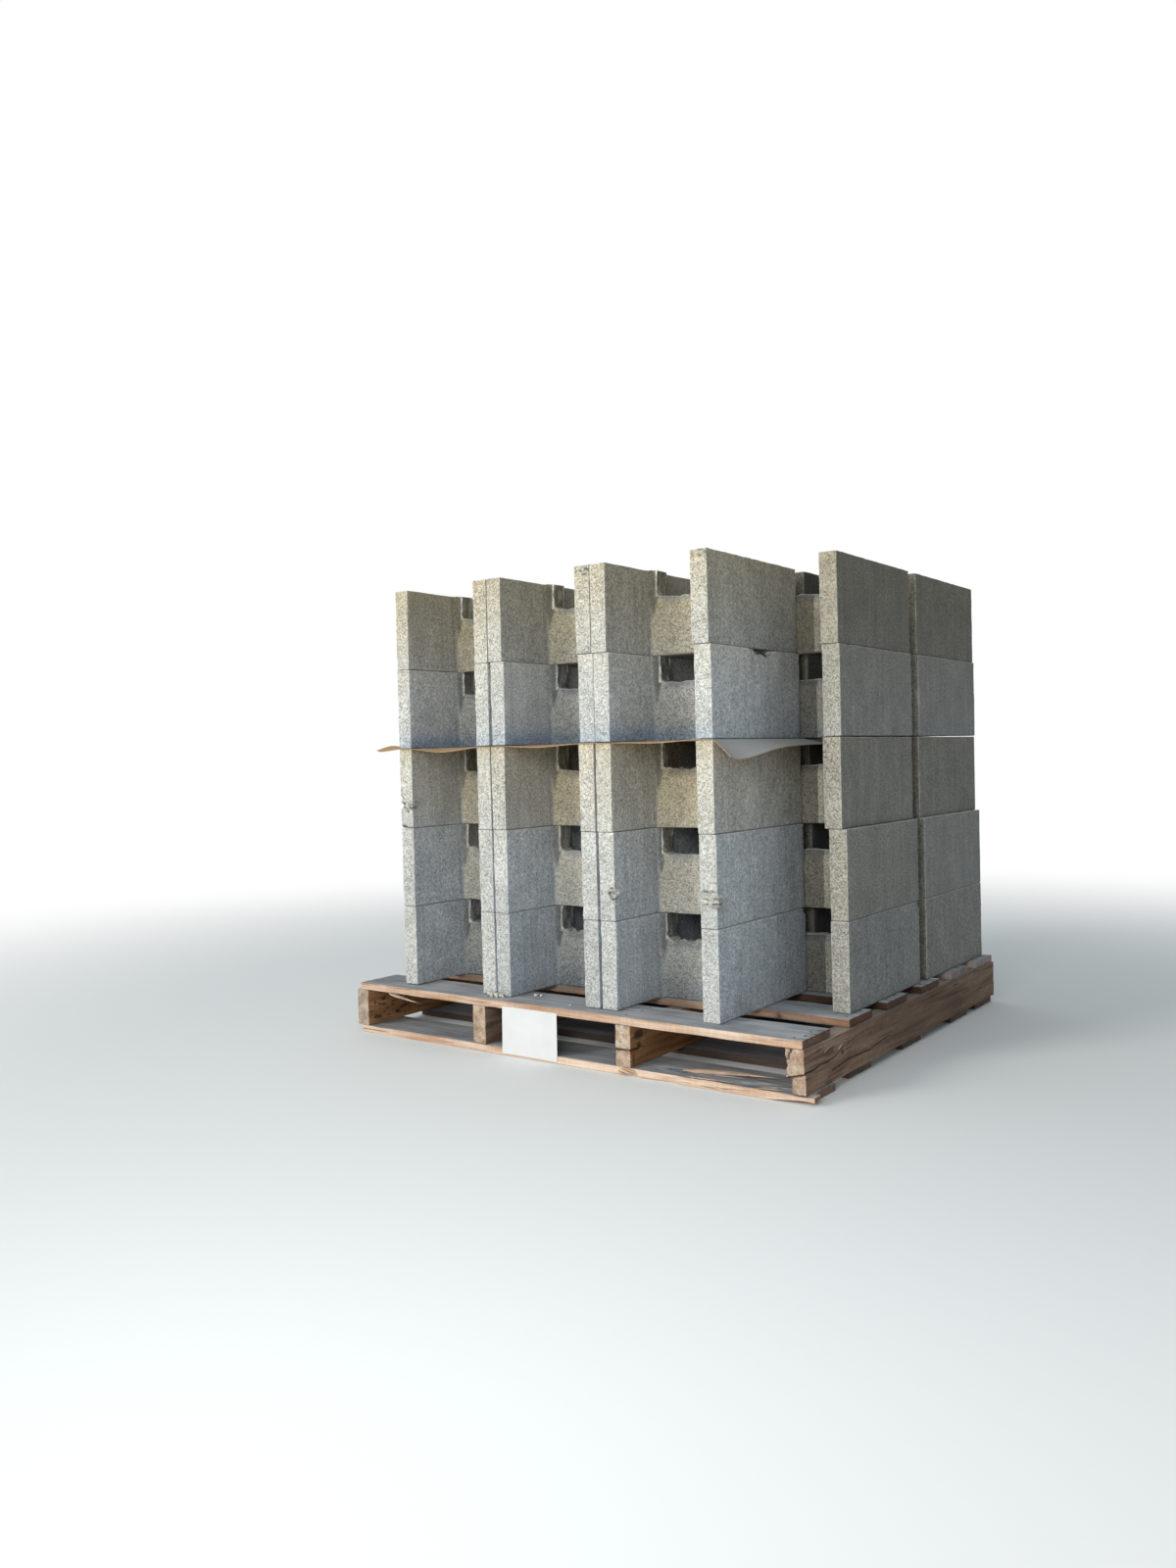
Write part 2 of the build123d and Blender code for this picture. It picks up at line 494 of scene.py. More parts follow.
# Concrete blocks
def block_cells(fine, patches):
    """The grid of a block, with lines along all its edges. Patches: low corner, high corner, spacing."""
    if fine:
        # The ragged sill needs closer lines across the window
        patches = [((WINDOW_LEFT, 0, 0), (WINDOW_RIGHT, 0, 0), SILL_STEP), *patches]
        step, flare, arc = FRONT_STEP, (5.0, 10.0, 15.0, 20.0), (4.5, 9.0)
    else:
        step, flare, arc = INNER_STEP, (9.0, 18.0), (7.0,)
    beside_window = {WINDOW_LEFT - EDGE, WINDOW_LEFT, WINDOW_LEFT + CORNER_RADIUS}
    left = {0, EDGE, SHELL - EDGE, SHELL} | beside_window | {WINDOW_LEFT + a for a in arc}
    left |= {SHELL + f for f in flare[:len(flare) // 2]}
    front = {0, EDGE, WEB_FRONT - FLARE_ZONE, WEB_FRONT, WEB_FRONT + EDGE} | {WEB_FRONT - f for f in flare}
    upright = {0, EDGE, SILL - SHOULDER_HEIGHT, SILL - EDGE, SILL, SILL + CORNER_RADIUS}
    upright |= {HEIGHT - EDGE, HEIGHT} | {SILL + a for a in arc}
    all_breaks = (left | {WIDTH - a for a in left}, front | {LENGTH - a for a in front}, upright)

    axes = []
    for axis, breaks in enumerate(all_breaks):
        found = list(lines(sorted(breaks), step))
        for low, high, spacing in patches:
            start, end = max(low[axis], found[0]), min(high[axis], found[-1])
            count = max(1, round((end - start) / spacing))
            for i in range(count + 1 if end - start > 1 else 0):
                place = start + (end - start) * i / count
                if min(abs(place - f) for f in found) > 0.4 * spacing:
                    found.append(place)
        axes.append(np.array(sorted(found)))
    x, y, z = np.meshgrid(*((a[1:] + a[:-1]) / 2 for a in axes), indexing="ij")
    web = within(y, WEB_FRONT, WEB_BACK) & ~(within(x, WINDOW_LEFT, WINDOW_RIGHT) & (z > SILL))
    return Cells(*axes, (x < SHELL) | (x > FAR_SHELL) | web)


def arc_points(distance, zone, radius, first):
    """Where a point beside a concave corner goes on the arc: its way along each of the two faces."""
    part = np.clip(distance / zone, 0, 1)
    angle = math.pi / 4 * np.where(first, 1 - part, 1 + part)
    return radius * (1 - np.cos(angle)), radius * (1 - np.sin(angle))


def taper_cells(points, grid, in_web):
    """The cores taper, so shells and web are thinner at the bottom."""
    x, y, z = grid.T
    thinner = 1 - z / HEIGHT
    across = [0, SHELL, WINDOW_LEFT, WINDOW_RIGHT, FAR_SHELL, WIDTH]
    points[:, 0] += np.interp(x, across, [0, -DRAFT, 0, 0, DRAFT, 0]) * thinner
    through = np.interp(y, [WEB_FRONT, WEB_MIDDLE, WEB_BACK], [DRAFT, 0, -DRAFT])
    points[:, 1] += np.where(in_web, through, 0) * thinner


def slope_shoulders(points, grid, inner):
    """The web slopes back under the window. Returns how far each point is up the slope, from 0 to 1."""
    x, y, z = grid.T
    rise = np.clip((z - SILL + SHOULDER_HEIGHT) / SHOULDER_HEIGHT, 0, 1) * (z <= SILL)
    across = ease((x - WINDOW_LEFT - 4) / CORNER_RADIUS) * ease((WINDOW_RIGHT - 4 - x) / CORNER_RADIUS)
    slope = rise * across * inner
    points[:, 1] -= (y - WEB_MIDDLE) / (WEB / 2) * (SHOULDER_DEPTH * slope)
    return slope


def bend_flares(points, grid, shifted, inner):
    """Bends the grid into the flares. Returns the smooth ribs with painted shade along them, and 1 on webs,
    0 on shells.
    """
    x, y, z = grid.T
    radius = FLARE_LOW + (FLARE_HIGH - FLARE_LOW) * (z / HEIGHT)
    rib_smooth_and_shade = np.zeros(len(grid))
    webness = inner.astype(float)
    below = np.clip((SILL - z) / RIB_TAIL, 0, 1)
    border = 14 + 4 * noise(shifted, (9, 9, 14), 12)
    for wall, side in ((SHELL, 1), (FAR_SHELL, -1)):
        for face, back in ((WEB_FRONT, -1), (WEB_BACK, 1)):
            off_shell, off_web = (x - wall) * side, (y - face) * back
            on_shell = on(x, wall) & (off_web >= -TOUCH)
            on_web = on(y, face) & (off_shell > TOUCH)
            for mask, distance, first in ((on_shell, off_web, True), (on_web, off_shell, False)):
                mask = mask & (distance < FLARE_ZONE + TOUCH)
                a, b = arc_points(distance, FLARE_ZONE, radius, first)
                points[mask, 0] += (wall + side * a - x)[mask]
                points[mask, 1] = (face + back * b)[mask] + (points[mask, 1] - y[mask]) * 0.5

                # The way across the flare is below 0 on the shell and above 0 on the web
                way = -distance if first else distance
                # Painted shade: a dark rib beside the window, running out in a point below the sill, on
                # concrete that is smooth there, and a softer dark band along the corner between shell and
                # web
                rib = ease((way + 18 - 12 * below) / 17) * ease((24 - 18 * below - way) / 5)
                seam = ease((way + 27) / 9) * ease((2 - way) / 12)
                dark = np.maximum(rib * ease((1 - below) * 4), 0.55 * seam)
                rib_smooth_and_shade[mask] = np.maximum(rib_smooth_and_shade[mask], dark[mask])
                webness[mask] = ease((way + border) / 26)[mask]
    return rib_smooth_and_shade, webness


def round_window(points, grid, opening):
    """Rounds the lower corners of the window."""
    x, _, z = grid.T
    above = z - SILL
    for wall, side in ((WINDOW_LEFT, 1), (WINDOW_RIGHT, -1)):
        along = (x - wall) * side
        on_wall = opening & on(x, wall) & (above <= CORNER_RADIUS + TOUCH)
        on_sill = opening & on(z, SILL) & (along > TOUCH) & (along <= CORNER_RADIUS + TOUCH)
        for mask, distance, first in ((on_wall, above, True), (on_sill, along, False)):
            a, b = arc_points(distance, CORNER_RADIUS, CORNER_RADIUS, first)
            points[mask, 0] += (side * a - (x - wall))[mask]
            points[mask, 2] += (b - above)[mask]


def break_window(points, grid, shifted, inner, side_wall, sag, ragged, wider):
    """The window is broken out: its sill is ragged and sags, and its left side may lie further out."""
    x, _, z = grid.T
    middle = (x - MIDDLE) / WINDOW_HALF
    bite = noise(shifted, (14, 30, 40), 1) * 0.75 + noise(shifted, (6.5, 9, 40), 2) * 0.6
    drop = ragged * bite + sag * (1 - middle**2) * (0.8 + 0.5 * noise(shifted, (30, 60, 60), 3))
    reach = np.clip(1 - (SILL - z) / 24, 0, 1) * (z <= SILL) * inner * ease((1 - np.abs(middle)) * 6)
    points[:, 2] -= drop * reach
    pulled = wider * np.exp(-(((x - WINDOW_LEFT) / 25) ** 2)) * ease((z - SILL + 20) / 20)
    points[:, 0] -= np.where(inner, pulled, 0)
    points[side_wall, 0] += (2.2 * noise(shifted, (20, 9, 11), 4))[side_wall]


def shape_block(cells, seed, sag=0.0, ragged=3.3, wider=0.0):
    """The points of a cast and handled block, which of its faces are ends and webs, and its attributes."""
    grid = cells.grid
    points = grid.copy()
    x, y, z = grid.T
    shifted = grid + seed * 411.0
    in_web = (y >= WEB_FRONT) & (y <= WEB_BACK)
    inner = in_web & within(x, SHELL + 1, FAR_SHELL - 1)
    opening = in_web & (z >= SILL - TOUCH)
    side_wall = opening & (z > SILL + 1) & (on(x, WINDOW_LEFT) | on(x, WINDOW_RIGHT))

    taper_cells(points, grid, in_web)
    slope = slope_shoulders(points, grid, inner)
    rib_smooth_and_shade, webness = bend_flares(points, grid, shifted, inner)
    round_window(points, grid, opening)
    break_window(points, grid, shifted, inner, side_wall, sag, ragged, wider)

    # Edges and corners are rubbed and a little chipped, and faces aren't quite flat
    rub = 0.7 + 0.5 * noise(shifted, 23, 5) + 0.9 * np.maximum(0, noise(shifted, 9, 6)) ** 2
    rub += 3.0 * np.maximum(0, noise(shifted, 31, 7) - 0.55)
    cells.handle(points, np.clip(rub, 0.4, 2.3), 0.35 * noise(shifted, 70, 8) - 0.35)

    # Attributes by point
    off = np.abs(x - MIDDLE) / WINDOW_HALF
    broken = np.where(opening & (z < SILL + 1) & (off < 0.98), 0.6, 0.0)
    broken = np.where(side_wall, 0.55 * ease(noise(shifted, (30, 7, 26), 10) * 3), broken)
    # Painted shade along the lower edges of each block, where it sits on the course below or on the deck
    foot_shade_edges = cells.convex & (z < TOUCH)
    worn = np.where(cells.convex & ~foot_shade_edges, 0.75 + 0.5 * noise(shifted, 40, 9), 0.0)
    on_web = on(y, WEB_FRONT) | on(y, WEB_BACK)
    rim = opening & on_web
    in_corner = within(off, 1 - CORNER_RADIUS / WINDOW_HALF, 0.99)
    sill_edge = rim & (z < SILL + TOUCH) & (off < 1.01)
    beside = on(off, 1 + EDGE / WINDOW_HALF) & (z > SILL - 1) & on_web
    speckle = noise(shifted, (9, 9, 12), 13)
    worn = np.where(sill_edge & ~in_corner, 0.9 + 1.6 * np.maximum(0, speckle), worn)
    worn = np.where((rim & side_wall) | beside | (sill_edge & in_corner), 1.7 + 0.9 * speckle, worn)
    point = {"stain_and_shade": np.where(foot_shade_edges, 1.0, rib_smooth_and_shade), "broken": broken, "worn": worn}

    # Attributes by corner, from where each face looks and lies
    x, y, z = cells.middle.T[:, :, None]
    along_x, along_y, along_z = (np.abs(cells.side)[:, None] == axis for axis in (1, 2, 3))
    end = along_y & ~within(y, 1, LENGTH - 1)
    web_face = along_y & ~end
    window_wall = along_x & within(x, SHELL + 1, FAR_SHELL - 1) & within(y, WEB_FRONT, WEB_BACK)
    broken_out = window_wall | ((cells.side[:, None] == 3) & (z < HEIGHT - 1))
    webness = webness[cells.quads]
    coarse = np.select([broken_out, web_face | along_x, along_y, along_z], [0.8, webness, 1.0, 0.6])
    slope = slope[cells.quads] * web_face
    coarse *= (1 - 0.6 * ease(slope * 1.5)) * (1 - 0.9 * rib_smooth_and_shade[cells.quads] * ~along_z)
    # Painted shade: the window's side walls are much darker. The sloping shoulder under the window is a
    # little darker and cooler.
    band = ease(slope * 1.2)
    corner = {"coarse": coarse, "tone": np.where(window_wall, 0.4, 1.0) * (1 - 0.14 * band)}
    corner["warm"] = -0.35 * band
    return points, end, webness, corner, point


def spall(points, cells, marks, centre, size, depth, seed):
    """A rough patch where the skin has come off or, where depth is below 0, a lump has stuck on."""
    away = (cells.grid - np.array(centre)) / np.array(size)
    ragged = 0.25 * noise(cells.grid, 9, seed)
    strength = ease((1.15 - np.linalg.norm(away, axis=1) + ragged) * 2.2)
    rough = 0.55 + 0.45 * noise(cells.grid, 5, seed + 1) + 0.35 * noise(cells.grid, 2.8, seed + 2)
    points += cells.inward * (depth * strength * rough)[:, None]
    mark(marks, "broken", strength)
    marks["worn"] = marks["worn"] * (1 - strength)
    # Painted shade in the pits of the patch and, where it is deeper than 12, over its core
    pits = ease((-noise(cells.grid, (7, 7, 5), seed + 3) - 0.2) * 5)
    mark(marks, "crack_shade", (0.35 if depth > 0 else 0.2) * strength * pits)
    if depth > 12:
        mark(marks, "crack_shade", 0.9 * ease((strength - 0.55) * 4))


def crack_shade(points, cells, marks, path):
    """A crack in the front end along a path of x and z: a shallow cut with painted shade in it."""
    spots = cells.grid[:, [0, 2]]
    gone = np.full(len(spots), 99.0)
    for start, end in zip(np.array(path, float), np.array(path[1:], float)):
        way = end - start
        part = np.clip(((spots - start) @ way) / (way @ way), 0, 1)
        gone = np.minimum(gone, np.linalg.norm(spots - start - part[:, None] * way, axis=1))
    near = ease(1.5 - gone / 1.2) * (cells.grid[:, 1] < EDGE + 1)
    points[:, 1] += 2.5 * near
    for key in ("worn", "broken"):
        marks[key] = marks[key] * (1 - near)
    mark(marks, "crack_shade", 0.8 * near)


# Damage by course, row and block number: centre, size and depth of each patch, all in the block
DAMAGE = {
    (3, 1, 1): [((0, 2, 62), (13, 22, 16), 12.0), ((42, 0, 58), (14, 14, 12), -13.0),
                ((4, 0, 0), (16, 9, 4), 3.0)],
    (2, 1, 3): [((38, 0, 61), (15, 12, 15), -11.0), ((273, 0, 60), (28, 12, 16), -4.5),
                ((300, 2, 58), (14, 14, 15), -14.0)],
    (5, 1, 2): [((280, 0, 184), (14, 14, 10), 4.0)],
    (5, 1, 3): [((286, 0, 184), (9, 10, 10), 2.0)],
    (4, 1, 3): [((295, 194, 190), (14, 24, 13), 6.0), ((295, 250, 188), (14, 30, 17), 7.0),
                ((295, 220, 196), (10, 60, 6), 5.0), ((292, 224, 190), (13, 38, 9), 13.0)],
    (1, 1, 3): [((295, 392, 190), (20, 9, 12), 8.0)],
    (1, 2, 3): [((295, 392, 190), (20, 9, 12), 8.0)],
    (1, 1, 1): [((288, 0, 3), (16, 9, 7), 5.0)],
    (1, 1, 2): [((6, 0, 3), (16, 9, 8), 5.5)],
}

# Painted shade along cracks and chip outlines in the front ends, and along a gap at the foot of the first
# block of course 3: each one a path of x and z in the block
CRACKS = {
    (3, 1, 1): [[(24, 46), (24, 40)], [(6, 50), (22, 50)], [(32, 49), (46, 51)],
                [(20, 64), (30, 60), (36, 66)], [(0, 0.3), (22, 0.3)], [(0, 2.4), (20, 2.4)],
                [(0, 4), (18, 4)]],
    (2, 1, 3): [[(255, 78), (266, 76), (274, 75)], [(284, 76), (292, 78)], [(268, 49), (274, 51)],
                [(288, 50), (296, 54)], [(258, 42), (261, 47), (259, 52)], [(268, 58), (272, 61)],
                [(281, 64), (284, 68)], [(27, 66), (31, 73), (39, 74)], [(28, 52), (34, 48), (42, 50)],
                [(35, 57), (32, 62), (37, 65)]],
    (5, 1, 2): [[(266, 192), (270, 182), (279, 174), (290, 175), (294, 185)], [(283, 190), (287, 182)]],
    (5, 1, 3): [[(277, 194), (281, 187), (279, 179), (286, 171), (294, 172)],
                [(288, 194), (293, 186), (295, 176)]],
}

# Windows of the front row that are broken out in their own way, by course and block number
WINDOWS = {
    (1, 2): {"sag": 3.5, "ragged": 7.5},
    (1, 3): {"sag": 6.0, "ragged": 7.5},
    (2, 3): {"wider": 7.0},
    (3, 3): {"sag": 1.5, "ragged": 6.5},
    (4, 2): {"ragged": 2.6},
    (5, 2): {"sag": 2.5},
    (5, 3): {"sag": 1.5},
}

# Painted light and shade for each course: brightness and added warmth of its ends, long faces and webs
PAINTED_LIGHT_BY_COURSE = {
    5: ((0.98, 0.0), (0.90, 0.3), (0.94, 0.5)),
    4: ((1.06, 0.0), (1.20, 0.2), (0.84, 0.1)),
    3: ((1.00, 0.0), (1.10, 0.3), (1.10, 0.7)),
    2: ((1.03, 0.0), (1.22, 0.0), (1.10, 0.7)),
    1: ((1.02, 0.0), (1.24, 0.0), (0.86, 0.4)),
}

# Painted light: how warm or, below 0, how cool the concrete is made at each height of the stack, warmer
# just under the sheet and near the top, cooler just above the sheet and low down
PAINTED_WARMTH = [(124, -0.6), (330, -0.5), (500, -0.25), (560, 0.0), (640, 0.15), (690, 0.4),
          (704, 0.9), (707, -0.7), (800, -0.5), (930, 0.1), (1090, 0.7)]


def block_lefts(node):
    """Where the three blocks of a row start, read from the CAD node."""
    at = np.array([v.co.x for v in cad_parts[node].data.vertices]) / MM
    return [at.min(), at[at > at.min() + WIDTH + 0.5].min(), at.max() - WIDTH]


def painted_light_of_block(cells, points, end, webness, place, height):
    """Painted light and shade by corner of a block at its place in the stack (course, row and number), as
    brightness and warmth.
    """
    course, row, number = place
    side, across = cells.side[:, None], cells.middle[:, :1]
    rooms = within(across, 1, WIDTH - 1)
    left_side = (number == 1) & (side == -1) & ~rooms
    right_side = (number == 3) & (side == 1) & ~rooms
    tones, warmths = np.array(PAINTED_LIGHT_BY_COURSE[course]).T
    # Painted light and shade in the front row: long faces brighter towards the right, the third block's
    # webs below course 4 darker, and the outer left faces darker
    if row == 1:
        right_web = 0.94 if number == 3 and course < 4 else 1
        tones = tones * (1, 1 + 0.05 * (number - 2), right_web)
        tone = np.where(left_side, 0.88, 1)
    else:
        # Painted shade: inner rows are darker, darker still where the rows before them cover them and on
        # their outer right long faces, and less dark on their outer left faces
        showing = (row == 2) & (number == 3) & (across > MIDDLE)
        covered = ((side == -2) & ~showing) | ((row == 3) & right_side)
        inner_row_shade = (0.7, 0.66, 0.9) if row < ROWS else (0.88, 0.85, 0.95)
        tones = tones * inner_row_shade
        tone = np.where(covered, 0.45, 1) * np.where(left_side, 1.25, 1)
        tone = tone * np.where(right_side, 0.475 / inner_row_shade[1], 1)
    base, warm = (np.where(end, v[0], v[1] + (v[2] - v[1]) * webness) for v in (tones, warmths))
    tone = tone * base
    z = points[:, 2]
    warm = warm + np.interp(height + z, *np.transpose(PAINTED_WARMTH))[cells.quads]
    if course == 4:
        # The sheet below throws a cold shade on the foot of the fourth course
        foot = ease(1 - z / 70)[cells.quads] ** 2
        warm = warm - foot * np.where(rooms, 2.0, 0.4) * np.where(end, 0.4, 1)
        tone = tone * (1 - 0.13 * foot * (rooms & ~end))
    elif course == 1 and row == 1:
        # Little light reaches the foot of the webs behind the deck's front board
        foot = ease(1 - z / 90)[cells.quads] * webness
        warm = warm - 0.8 * foot
        tone = tone * (1 - 0.18 * foot)
    # Inner rows keep less of the painted warm and cool light, and are warmer overall
    if row > 1:
        warm = 0.3 * warm + 0.35
    return tone, np.where(left_side, 0.5 * warm, warm)


def make_block(place, left, low):
    """One block's part of a joined mesh. Place: course, row and number."""
    course, row, number = place
    seed = course * 100 + row * 10 + number
    damage = DAMAGE.get(place, [])
    spans = [(np.array(centre), np.array(size)) for centre, size, _ in damage]
    patches = [(centre - size, centre + size, PATCH_STEP) for centre, size in spans]
    cells = block_cells(row == 1, patches)
    window = WINDOWS.get((course, number), {}) if row == 1 else {}
    points, end, webness, corner, point = shape_block(cells, seed, **window)
    point["crack_shade"] = np.zeros(len(points))
    for count, (centre, size, depth) in enumerate(damage):
        spall(points, cells, point, centre, size, depth, seed + 7 * count)
    for path in CRACKS.get(place, []):
        crack_shade(points, cells, point, path)
    if row == 3:
        point["worn"] = point["worn"] * 0.3
    spread = np.random.default_rng(seed)
    grain = points * MM + spread.uniform(0, 9, 3)
    # Painted light and shade by place in the stack, on top of a random tone and warmth for each block
    tone, warm = painted_light_of_block(cells, points, end, webness, place, low[2])
    corner["tone"] = corner["tone"] * tone * (1 + spread.uniform(-0.045, 0.035))
    corner["warm"] = corner["warm"] + warm + spread.uniform(-0.15, 0.15)
    return points + (left, low[1], low[2]), cells.quads, grain, corner, point


def make_blocks():
    for course, row in itertools.product(range(1, COURSES + 1), range(1, ROWS + 1)):
        node = f"blocks_course_{course}_row_{row}"
        low = box_mm(node)[0]
        lefts = block_lefts(node)
        parts = [make_block((course, row, i), left, low) for i, left in enumerate(lefts, start=1)]
        piece = make_joined(f"concrete_course_{course}_row_{row}", parts, concrete)
        stand_for(piece, node)


make_blocks()


# Wood
def plank(low, high, step, finer):
    """The grid of a sawn board or beam. Each finer zone is an axis, a start, an end and a spacing."""
    axes = []
    long = int(np.argmax(high - low))
    for axis, (a, b) in enumerate(zip(low, high)):
        start, end = a + BOARD_EDGE, b - BOARD_EDGE
        found = [a, start, end, b]
        for along, near, far, gap in finer:
            if along == axis:
                found = sorted({*found, *lines([max(near, start), min(far, end)], gap)})
        axes.append(lines(found, step if axis == long else BOARD_STEP))
    return Cells(*axes), long


def shape_plank(cells, long, seed, wear):
    """Sawn wood that has been handled: soft edges, small bites and a slightly uneven saw cut."""
    size = np.full(3, 14.0)
    size[long] = 60.0
    bites = np.maximum(0, noise(cells.grid, size * 0.8, seed + 1) - 0.45)
    rub = 0.5 + 0.5 * noise(cells.grid, size, seed) + 3.2 * bites
    size[long] = 160.0
    saw = 0.5 * (noise(cells.grid, size, seed + 2) - 1)
    points = cells.grid.copy()
    cells.handle(points, np.clip(rub * wear, 0.2, 3.5), saw)
    return points


def wood_grain(points, long, seed):
    """Coordinates with the fibres along the first axis."""
    order = [long] + [a for a in range(3) if a != long]
    return points[:, order] * MM + np.random.default_rng(seed).uniform(0, 7, 3)


def no_marks(points):
    return {key: np.zeros(len(points)) for key in ("stain_and_shade", "fresh")}


def splinter(start, end, width, thickness, lift, grey, seed):
    """A torn sliver of wood, narrow at its start and pointed at its end, that bows up by lift."""
    cells = Cells(np.linspace(0, 1, 15), np.array([-1.0, 0.0, 1.0]), np.array([-1.0, 1.0]))
    along, across, up = cells.grid.T
    start, end = np.array(start, float), np.array(end, float)
    aside = np.cross((end - start) / np.linalg.norm(end - start), (0, 0, 1))
    taper = np.minimum(ease(along * 6) * 0.8 + 0.2, ease((1.02 - along) * 1.6))
    flutter = 0.2 * width * noise(cells.grid * 100, 22, seed)
    points = start + along[:, None] * (end - start)
    points += ((across * width / 2 + flutter) * taper)[:, None] * aside
    points[:, 2] += up * thickness / 2 * taper + lift * np.sin(np.pi * along)
    corner = {"grey": np.full(cells.quads.shape, grey), "dark": np.zeros(cells.quads.shape)}
    return points, cells.quads, wood_grain(points, 0, seed), corner, no_marks(points)


def make_board(node, seed, greys, darks, step, wear=1.0, finer=(), change=None, stains_and_shade=(), splinters=()):
    """A board. greys and darks: how weathered and how dark its underside, top, two edges and ends are.

    change reshapes and marks it, and each stain or patch of painted shade is a centre, a radius and a
    strength."""
    low, high = box_mm(node)
    cells, long = plank(low, high, step, finer)
    points = shape_plank(cells, long, seed, wear)
    point = no_marks(points)
    if change:
        change(cells, points, point)
    for centre, radius, strength in stains_and_shade:
        gone = np.linalg.norm((cells.grid - centre) / radius, axis=1) + 0.35 * noise(cells.grid, 6, 79)
        mark(point, "stain_and_shade", strength * ease(1.4 - gone))
    edge = 2 - long
    faces = [(cells.side == side)[:, None] for side in (-3, 3, -edge, edge)]
    blank = np.zeros(cells.quads.shape)
    corner = {"grey": blank + np.select(faces, greys[:4], greys[4])}
    corner["dark"] = blank + np.select(faces, darks[:4], darks[4])
    slot, material = ("board_wood", board_wood) if long == 0 else ("stringer_wood", stringer_wood)
    parts = [(points, cells.quads, wood_grain(points, long, seed), corner, point)]
    parts += [splinter(*each, seed + 50 + i) for i, each in enumerate(splinters)]
    stand_for(make_joined("wood_" + node, parts, material), node)


def groove(points, marks, distance, half, depth, inward):
    """Cuts a split along the line where distance is 0, with painted shade in it."""
    near = ease(1.25 - np.abs(distance) / half)
    points += near[:, None] * depth * np.array(inward)
    mark(marks, "stain_and_shade", near)


def split_right_stringer(cells, points, marks):
    """The front end is split at half height, and the split climbs along the outer side."""
    x, y, z = cells.grid.T
    back = y - y.min()
    outside = x > x.max() - 0.5
    end = back < 0.5
    height = np.interp(back, [0, 35, 70, 125, 180, 260, 330], [59, 60, 62, 64, 80, 88, 92])
    height = height - 0.3 * (x.max() - x) + 2.2 * noise(cells.grid, (9, 17, 60), 71)

    # Fibres are pulled out of the outer side
    pulled = noise(cells.grid, (9, 48, 4.2), 82) * ease((330 - back) / 200) * outside
    points[:, 0] -= 1.4 * np.maximum(0, pulled)
    mark(marks, "stain_and_shade", 0.5 * ease((pulled - 0.25) * 3))

    # The wood below the split has moved in and to the right, and the wood above it a little to the left
    lower = ease((height - z) / 2) * ease((150 - back) / 150)
    left = ease((x.min() + 30 - x) / 30)
    near_end = ease((60 - back) / 60)
    points[:, 0] += 9 * lower * left * ease((90 - back) / 90) - 1.5 * (z > height) * near_end
    points[:, 0] += 2.5 * noise(cells.grid, (60, 30, 7), 78) * left * near_end
    points[:, 1] += 3.0 * lower * ease((20 - back) / 20)
    fade = np.maximum(ease((240 - back) / 170), 0.05)
    for faces, inward in ((outside, (-1, 0, 0)), (end, (0, 1, 0))):
        groove(points, marks, np.where(faces, z - height, 99) / fade, 1.7, 6.0, inward)

    # A second, shallow split further back, and a chip that hangs loose at the end
    second = np.interp(back, [120, 200, 300, 420], [40, 47, 44, 52]) + noise(cells.grid, (9, 30, 60), 72)
    further = outside & within(back, 120, 420)
    groove(points, marks, np.where(further, z - second, 99), 2.0, 2.0, (-1, 0, 0))
    chip = x.min() + np.interp(z, [86, 97, 107], [3, 8, 12])
    groove(points, marks, np.where(end & (z > 84), x - chip, 99), 2.2, 4.0, (0, 1, 0))
    points[(x < chip) & (z > 88) & (back < 14), 0] -= 1.5


def split_middle_stringer(cells, points, marks):
    """A split runs across the front end and a little way along the right side, below a torn knot."""
    x, y, z = cells.grid.T
    back = y - y.min()
    right_side = x > x.max() - 0.5
    marks["fresh"] = 2.0 * right_side
    height = 54 + 1.5 * noise(cells.grid, (8, 12, 60), 73)
    groove(points, marks, np.where(back < 0.5, z - height, 99), 2.6, 4.0, (0, 1, 0))
    side = right_side & (back < 60)
    off_split = (z - height) / np.maximum(ease((60 - back) / 30 + 0.05), 0.001)
    groove(points, marks, np.where(side, off_split, 99), 2.6, 3.0, (-1, 0, 0))
    off_knot = ((back - 35) / 26) ** 2 + ((z - 79) / 13) ** 2
    knot = side & (off_knot < 1 + 0.8 * noise(cells.grid, 8, 80))
    points[knot, 0] -= 1.5 + 1.5 * noise(cells.grid, 6, 74)[knot]


